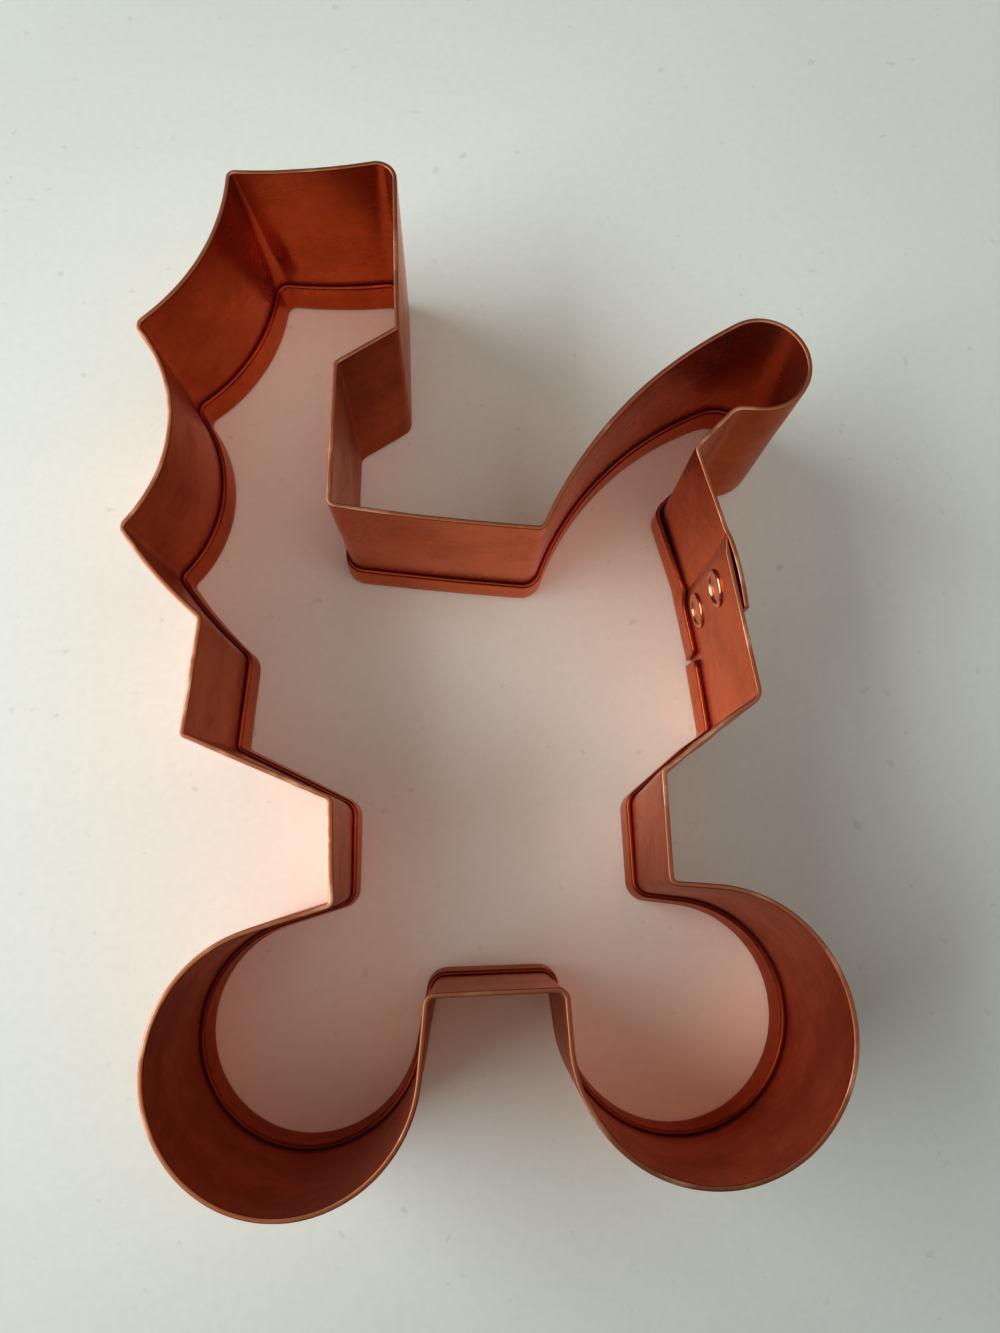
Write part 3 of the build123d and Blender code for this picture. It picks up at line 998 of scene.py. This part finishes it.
def mouth_dark_group():
    """A darker colour in the mouth of the hem, that thins out up the wall."""
    tree, start, end = new_group(
        "Grime",
        [
            ("Place", "NodeSocketVector", None),
            ("Mouth", "NodeSocketFloat", 0.0),
            ("Color", "NodeSocketColor", (0.8, 0.4, 0.2, 1)),
            ("Grime", "NodeSocketColor", (0.2, 0.03, 0.01, 1)),
        ],
        [("Color", "NodeSocketColor")],
    )
    given = start.outputs
    uneven = noise_texture(tree, given["Place"], UNEVEN_MOUTH_DARK)
    uneven = math_node(tree, "MULTIPLY", uneven, MOUTH_DARK_PATTERN_SHARE)
    reach = math_node(tree, "ADD", given["Mouth"], uneven)
    amount = math_node(tree, "MULTIPLY", ramp(tree, reach, *MOUTH_DARK_RANGE), DARKEST_MOUTH)
    tree.links.new(mix_colour(tree, amount, given["Color"], given["Grime"]), end.inputs["Color"])
    return tree


def place_group(tree, name, build, **values):
    """Places a shared group in a material, and builds it the first time."""
    node = tree.nodes.new("ShaderNodeGroup")
    node.node_tree = bpy.data.node_groups.get(name) or build()
    for label, value in values.items():
        feed(tree, node.inputs[label], value)
    return node.outputs


def mark(tree, name):
    """The numbers that the mesh's points carry under a name."""
    return add(tree, "ShaderNodeAttribute", attribute_name=name).outputs["Fac"]


def copper_material(name, base, tarnish_amount, grain_depth, strip_map):
    """Copper with tarnish and painted shade, rolling grain, worn edges, a darker hem mouth, and a painted
    paler glow for the light it throws on the table.
    """
    look = settings("cutter_copper")
    material, tree, shader = new_material(name)
    if strip_map:
        place = add(tree, "ShaderNodeUVMap", uv_map="strip").outputs[0]
    else:
        own_place = add(tree, "ShaderNodeTexCoord").outputs["Object"]
        place = add(tree, "ShaderNodeMapping", Vector=own_place, Scale=CENTIMETRES).outputs[0]
    # Tarnish takes each bend's darkness, which is partly painted shade
    tarnish = place_group(
        tree, "Tarnish", tarnish_group, Place=place, Clean=(*base, 1),
        Tarnished=(*look.tarnish, 1), Amount=tarnish_amount, Patina=mark(tree, "patina"),
        Roughness=look.roughness,
    )
    wear = place_group(
        tree, "Edge wear", wear_group, Place=place, Edge=mark(tree, "edge"),
        Color=tarnish["Color"], Dull=(*look.edge, 1), Rubbed=(*look.bright, 1),
        Roughness=tarnish["Roughness"],
    )
    # A darker colour in the hem's mouth and low on the inner wall
    mouth_dark = place_group(
        tree, "Grime", mouth_dark_group, Place=place, Mouth=mark(tree, "mouth_dark"), Color=wear["Color"],
        Grime=(*look.mouth_dark, 1),
    )
    grain = place_group(tree, "Rolling grain", grain_group, Place=place, Scratches=SCRATCH_AMOUNT)
    rough = math_node(tree, "MULTIPLY_ADD", grain["Streak"], STREAK_ROUGHNESS, wear["Roughness"])
    bump = add(
        tree, "ShaderNodeBump", Strength=GRAIN_STRENGTH, Distance=grain_depth,
        Height=grain["Height"],
    )
    # Painted light: a ray that comes from a dull surface, such as the table, meets a paler copper colour,
    # so the copper throws paler, brighter light on the table than its own colour would
    path = add(tree, "ShaderNodeLightPath")
    colour = mix_colour(tree, path.outputs["Diffuse Depth"], mouth_dark["Color"], (*look.painted_table_glow, 1))
    tree.links.new(colour, shader.inputs["Base Color"])
    tree.links.new(rough, shader.inputs["Roughness"])
    tree.links.new(bump.outputs[0], shader.inputs["Normal"])
    shader.inputs["Metallic"].default_value = 1.0
    shader.inputs["Specular Tint"].default_value = (*look.graze, 1)
    shader.inputs["Sheen Weight"].default_value = look.film
    shader.inputs["Sheen Roughness"].default_value = FILM_ROUGHNESS
    shader.inputs["Sheen Tint"].default_value = (*look.film_colour, 1)
    return material


def shade(colour, share):
    """A colour brought down to a share of its brightness."""
    return (*(c * share for c in colour), 1)


def table_material():
    """Pale table top with fine grain and specks, and painted shade that darkens it away from the part."""
    look = settings("cutter_stage")
    material, tree, shader = new_material("pale_table")
    place = add(tree, "ShaderNodeTexCoord").outputs["Object"]
    grain = noise_texture(tree, place, TABLE_GRAIN)
    pale = ramp(tree, grain, TABLE_GRAIN.low, TABLE_GRAIN.high)
    colour = mix_colour(
        tree, pale, shade(look.table_colour, GRAIN_SHADE), (*look.table_colour, 1)
    )
    specks = math_node(tree, "MULTIPLY", patches(tree, place, TABLE_SPECKS), SPECK_STRENGTH)
    colour = mix_colour(tree, specks, colour, shade(look.table_colour, SPECK_SHADE))
    # Painted shade: darker away from the part, standing in for the light falling off
    away = add(tree, "ShaderNodeVectorMath", operation="LENGTH")
    tree.links.new(place, away.inputs[0])
    rim = ramp(tree, away.outputs["Value"], *SHADE_FALLOFF_RANGE)
    colour = mix_colour(tree, math_node(tree, "MULTIPLY", rim, SHADE_FALLOFF_DARKNESS), colour, BLACK)
    bump = add(
        tree, "ShaderNodeBump", Strength=TABLE_BUMP, Distance=TABLE_BUMP_DEPTH, Height=grain
    )
    tree.links.new(colour, shader.inputs["Base Color"])
    tree.links.new(bump.outputs[0], shader.inputs["Normal"])
    shader.inputs["Roughness"].default_value = TABLE_ROUGHNESS
    return material


# Rivets. Angles in degrees go from the top of the head to its rim, and over the roll from its
# outer side to the hollow. The rest is in millimetres
HEAD_ANGLES = range(8, 90, 8)
ROLL_ANGLES = range(15, 171, 8)
ROLL_POWER = 0.9
HEAD_RIM = 0.1
HEAD_RIM_ROUNDING = ((-0.03, 0.02), (0.0, 0.08))
ROLL_FOOT_ROUNDING = ((0.0, 0.24), (0.05, 0.06))
FLOOR_RIM = 0.12
FLOOR_RISE, FLOOR_RISE_SHARE = 0.05, 0.6
FLOOR_CROWN = 0.09
RIVET_TURNS = 72

# Unevenness of the roll, for its waves and for its finer crimps: the radius of the ring that
# it follows through the noise, and how much it changes the roll's radius and height, as shares
Crimp = namedtuple("Crimp", "reach radius_share height_share")
ROLL_WAVE = Crimp(1.3, 0.02, 0.08)
ROLL_CRIMP = Crimp(4.0, 0.008, 0.03)
CRIMP_SEED = 5.0
CRIMPED_FROM = 0.02
RIVET_SEEDS = {"lower_rivet": 11.0, "upper_rivet": 23.0}


def rivet_seat(band):
    """How far the lap's two layers reach along a rivet."""
    return (2 * band.sheet + band.lap_gap) / MM


def rivet_profile(rivets, band):
    """Half of a rivet, as distances along its axis and out from it, in millimetres."""
    seat = rivet_seat(band)
    shank, head, roll, bore = (
        size / MM / 2 for size in (rivets.shank, rivets.head, rivets.roll, rivets.bore)
    )
    head_height, roll_height = rivets.head_height / MM, rivets.roll_height / MM
    crest, half = (roll + bore) / 2, (roll - bore) / 2
    profile = [(-head_height, 0.0)]
    for a in HEAD_ANGLES:
        x = math.radians(a)
        profile.append((-HEAD_RIM - (head_height - HEAD_RIM) * math.cos(x), head * math.sin(x)))
    profile.append((-HEAD_RIM, head))
    profile += [(x, head - d) for x, d in HEAD_RIM_ROUNDING]
    profile += [(0.0, shank), (seat, shank)]
    profile += [(seat + x, roll - d) for x, d in ROLL_FOOT_ROUNDING]
    for a in ROLL_ANGLES:
        x = math.radians(a)
        profile.append((seat + roll_height * math.sin(x) ** ROLL_POWER, crest + half * math.cos(x)))
    floor = seat + rivets.floor / MM
    profile.append((floor, bore - FLOOR_RIM))
    profile.append((floor + FLOOR_RISE, bore * FLOOR_RISE_SHARE))
    profile.append((floor + FLOOR_CROWN, 0.0))
    return profile


def crimped(x, r, a, seat, seed):
    """A profile's point at an angle round the rivet, with the roll's unevenness."""
    if x <= seat + CRIMPED_FROM:
        return x, r
    wave, crimp = (
        noise.noise(Vector((math.cos(a) * form.reach, math.sin(a) * form.reach, number)))
        for form, number in ((ROLL_WAVE, seed), (ROLL_CRIMP, seed + CRIMP_SEED + x))
    )
    taller = 1 + ROLL_WAVE.height_share * wave + ROLL_CRIMP.height_share * crimp
    wider = 1 + ROLL_WAVE.radius_share * wave + ROLL_CRIMP.radius_share * crimp
    return seat + (x - seat) * taller, r * wider


def rivet_mesh(name, rivets, band, foot, inwards, seed):
    """A hollow rivet with its head outside and its end rolled over inside."""
    axis = np.array((*inwards, 0.0))
    side = np.array((inwards[1], -inwards[0], 0.0))
    upright = np.array((0.0, 0.0, 1.0))
    rings, places, faces = [], [], []
    for x, r in rivet_profile(rivets, band):
        turns = RIVET_TURNS if r else 1
        rings.append(range(len(places), len(places) + turns))
        for t in range(turns):
            a = 2 * math.pi * t / RIVET_TURNS
            here, out = crimped(x, r, a, rivet_seat(band), seed)
            p = foot + (axis * here + (side * math.cos(a) + upright * math.sin(a)) * out) * MM
            places.append(tuple(np.clip(p, np.array(CAD_LOW), np.array(CAD_HIGH))))
    for one, two in zip(rings, rings[1:]):
        for t in range(RIVET_TURNS):
            n = (t + 1) % RIVET_TURNS
            if len(one) == 1:
                faces.append((one[0], two[t], two[n]))
            elif len(two) == 1:
                faces.append((one[n], one[t], two[0]))
            else:
                faces.append((one[t], two[t], two[n], one[n]))
    mesh = bpy.data.meshes.new(name)
    mesh.from_pydata(places, [], faces)
    mesh.update()
    mesh.polygons.foreach_set("use_smooth", [True] * len(faces))
    return mesh


def fix_normals(mesh):
    """Turns all faces outwards."""
    made = bmesh.new()
    made.from_mesh(mesh)
    bmesh.ops.recalc_face_normals(made, faces=made.faces)
    made.to_mesh(mesh)
    made.free()


def add_piece(name, mesh, material, node):
    """Puts a piece in the scene, in place of a node of the CAD model."""
    fix_normals(mesh)
    mesh.materials.append(material)
    piece = bpy.data.objects.new(name, mesh)
    bpy.context.scene.collection.objects.link(piece)
    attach(piece, "root")
    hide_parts(node)


class CUTTER_OT_band(bpy.types.Operator):
    """Make the copper strip with its hem and lap"""

    bl_idname = "cutter.band"
    bl_label = "Copper strip"

    def execute(self, context):
        look = settings("cutter_copper")
        mesh = copper_band_mesh(settings("cutter_band"))
        material = copper_material(
            "copper_sheet", look.base, SHEET_TARNISH, look.grain_depth, strip_map=True
        )
        add_piece("copper_strip", mesh, material, "copper_band")
        return {"FINISHED"}


class CUTTER_OT_rivets(bpy.types.Operator):
    """Make the two hollow rivets of the lap"""

    bl_idname = "cutter.rivets"
    bl_label = "Rivets"

    def execute(self, context):
        band, rivets = settings("cutter_band"), settings("cutter_rivets")
        look = settings("cutter_copper")
        material = copper_material(
            "rivet_copper", look.rivet, RIVET_TARNISH, RIVET_GRAIN_DEPTH, strip_map=False
        )
        down = lap_way(band)
        inwards = turned(-down)
        shares = {"lower_rivet": rivets.lower_share, "upper_rivet": rivets.upper_share}
        for name, share in shares.items():
            z = band.hem_height + share * (band.height - band.hem_height)
            middle = end_a_spot(1 - z / band.height, band) - down * band.lap / 2
            foot = np.array((*(middle - inwards * band.joggle), z))
            piece = "hollow_" + name
            mesh = rivet_mesh(piece, rivets, band, foot, inwards, RIVET_SEEDS[name])
            add_piece(piece, mesh, material, name)
        return {"FINISHED"}


# Camera: where it stands over the part, its lens and film in millimetres, its tilt and roll in
# degrees, and how near and far it sees
CAMERA_PLACE = (-0.77 * MM, -23.59 * MM, 122.6 * MM)
CAMERA_LENS, CAMERA_FILM = 27.03, 36.0
CAMERA_TILT, CAMERA_ROLL = -11.75, -1.78
CAMERA_NEAR, CAMERA_FAR = 0.005, 20.0

# Lamps: where the window stands, the way to the ceiling's bright part, and how nearly a
# direction has to match that way for the light to begin and to be full
WINDOW_PLACE = (-0.67, -0.03, 0.38)
CEILING_WAY = (0.28, -0.36, 0.89)
CEILING_RANGE = (0.6, 0.97)
BACKDROP = (0.80, 0.82, 0.80, 1)

# Dark boards: their place from the camera, to its right, up and back, and their two sides
Board = namedtuple("Board", "right up back width height")
BOARDS = {
    "camera_board": Board(22 * MM, -88 * MM, 3 * MM, 96 * MM, 150 * MM),
    "arm_board": Board(122 * MM, -130 * MM, 3 * MM, 104 * MM, 130 * MM),
}
BOARD_COLOUR = (0.02, 0.02, 0.02, 1)
BOARD_ROUGHNESS = 0.9


def camera_pose():
    a, b = math.radians(CAMERA_TILT), math.radians(CAMERA_ROLL)
    tilt = np.array(((1, 0, 0), (0, math.cos(a), -math.sin(a)), (0, math.sin(a), math.cos(a))))
    roll = np.array(((math.cos(b), 0, math.sin(b)), (0, 1, 0), (-math.sin(b), 0, math.cos(b))))
    view = roll @ tilt @ np.diag((1.0, -1.0, -1.0))
    turn = Matrix((view[0], -view[1], -view[2])).transposed()
    return Matrix.Translation(CAMERA_PLACE) @ turn.to_4x4()


class CUTTER_OT_stage(bpy.types.Operator):
    """Make the table, the lamps and the camera"""

    bl_idname = "cutter.stage"
    bl_label = "Table, lamps and camera"

    def execute(self, context):
        look = settings("cutter_stage")
        bpy.ops.mesh.primitive_plane_add(size=look.table_size)
        table = bpy.context.object
        table.name = "table"
        table.data.materials.append(table_material())
        self.window(look)
        self.boards()
        self.room(look)
        self.camera()
        return {"FINISHED"}

    def window(self, look):
        """A broad soft lamp low at the left, such as a window."""
        data = bpy.data.lights.new("window", "AREA")
        data.shape = "RECTANGLE"
        data.size, data.size_y = look.key_width, look.key_height
        data.energy = look.key_power
        data.color = look.key_colour
        lamp = bpy.data.objects.new("window", data)
        bpy.context.scene.collection.objects.link(lamp)
        lamp.location = WINDOW_PLACE
        lamp.rotation_euler = (-lamp.location).to_track_quat("-Z", "Y").to_euler()

    def boards(self):
        """Dark boards over the part, such as the one that holds the camera."""
        material, _, shader = new_material("black_board")
        shader.inputs["Base Color"].default_value = BOARD_COLOUR
        shader.inputs["Roughness"].default_value = BOARD_ROUGHNESS
        for name, board in BOARDS.items():
            bpy.ops.mesh.primitive_plane_add(size=1.0)
            piece = bpy.context.object
            piece.name = name
            place = Matrix.Translation((board.right, board.up, board.back))
            size = Matrix.Diagonal((board.width, board.height, 1.0, 1.0))
            piece.matrix_world = camera_pose() @ place @ size
            piece.visible_camera = False
            piece.data.materials.append(material)

    def room(self, look):
        """A bright ceiling, dim walls, and a pale backdrop that only the camera sees."""
        world = bpy.data.worlds.new("room")
        bpy.context.scene.world = world
        world.use_nodes = True
        tree = world.node_tree
        light = tree.nodes["Background"]
        direction = add(tree, "ShaderNodeTexCoord").outputs["Generated"]
        match = add(tree, "ShaderNodeVectorMath", operation="DOT_PRODUCT")
        tree.links.new(direction, match.inputs[0])
        match.inputs[1].default_value = CEILING_WAY
        strength = ramp(
            tree, match.outputs["Value"], *CEILING_RANGE, look.sky_strength, look.overhead_strength
        )
        light.inputs["Color"].default_value = (*look.sky_colour, 1)
        tree.links.new(strength, light.inputs["Strength"])
        backdrop = add(tree, "ShaderNodeBackground", Color=BACKDROP)
        path = add(tree, "ShaderNodeLightPath")
        mix = add(tree, "ShaderNodeMixShader")
        ways = (path.outputs["Is Camera Ray"], light.outputs[0], backdrop.outputs[0])
        for socket, value in zip(mix.inputs, ways):
            tree.links.new(value, socket)
        tree.links.new(mix.outputs[0], tree.nodes["World Output"].inputs["Surface"])

    def camera(self):
        data = bpy.data.cameras.new("camera")
        data.sensor_width = CAMERA_FILM
        data.lens = CAMERA_LENS
        data.clip_start, data.clip_end = CAMERA_NEAR, CAMERA_FAR
        camera = bpy.data.objects.new("camera", data)
        scene = bpy.context.scene
        scene.collection.objects.link(camera)
        camera.matrix_world = camera_pose()
        scene.camera = camera
        scene.view_settings.view_transform = "Standard"


class CUTTER_PT_panel(bpy.types.Panel):
    """Sizes, colours and buttons of the cookie cutter"""

    bl_label = "Pram cookie cutter"
    bl_idname = "CUTTER_PT_panel"
    bl_space_type = "VIEW_3D"
    bl_region_type = "UI"
    bl_category = "Cutter"

    def draw(self, context):
        for name, operators in SECTIONS:
            box = self.layout.box()
            group = settings(name)
            for key in group.__annotations__:
                box.prop(group, key)
            for operator in operators:
                box.operator(operator)


SECTIONS = (
    ("cutter_band", ["cutter.band"]),
    ("cutter_rivets", ["cutter.rivets"]),
    ("cutter_copper", []),
    ("cutter_stage", ["cutter.stage"]),
)
GROUPS = {
    "cutter_band": BandSettings,
    "cutter_rivets": RivetSettings,
    "cutter_copper": CopperSettings,
    "cutter_stage": StageSettings,
}
CLASSES = (CUTTER_OT_band, CUTTER_OT_rivets, CUTTER_OT_stage, CUTTER_PT_panel)


def register():
    for name, group in GROUPS.items():
        bpy.utils.register_class(group)
        setattr(bpy.types.Scene, name, bpy.props.PointerProperty(type=group))
    for made in CLASSES:
        bpy.utils.register_class(made)


def unregister():
    for made in reversed(CLASSES):
        bpy.utils.unregister_class(made)
    for name, group in reversed(list(GROUPS.items())):
        delattr(bpy.types.Scene, name)
        bpy.utils.unregister_class(group)


def main():
    register()
    bpy.ops.cutter.band()
    bpy.ops.cutter.rivets()
    bpy.ops.cutter.stage()


if __name__ == "__main__":
    main()
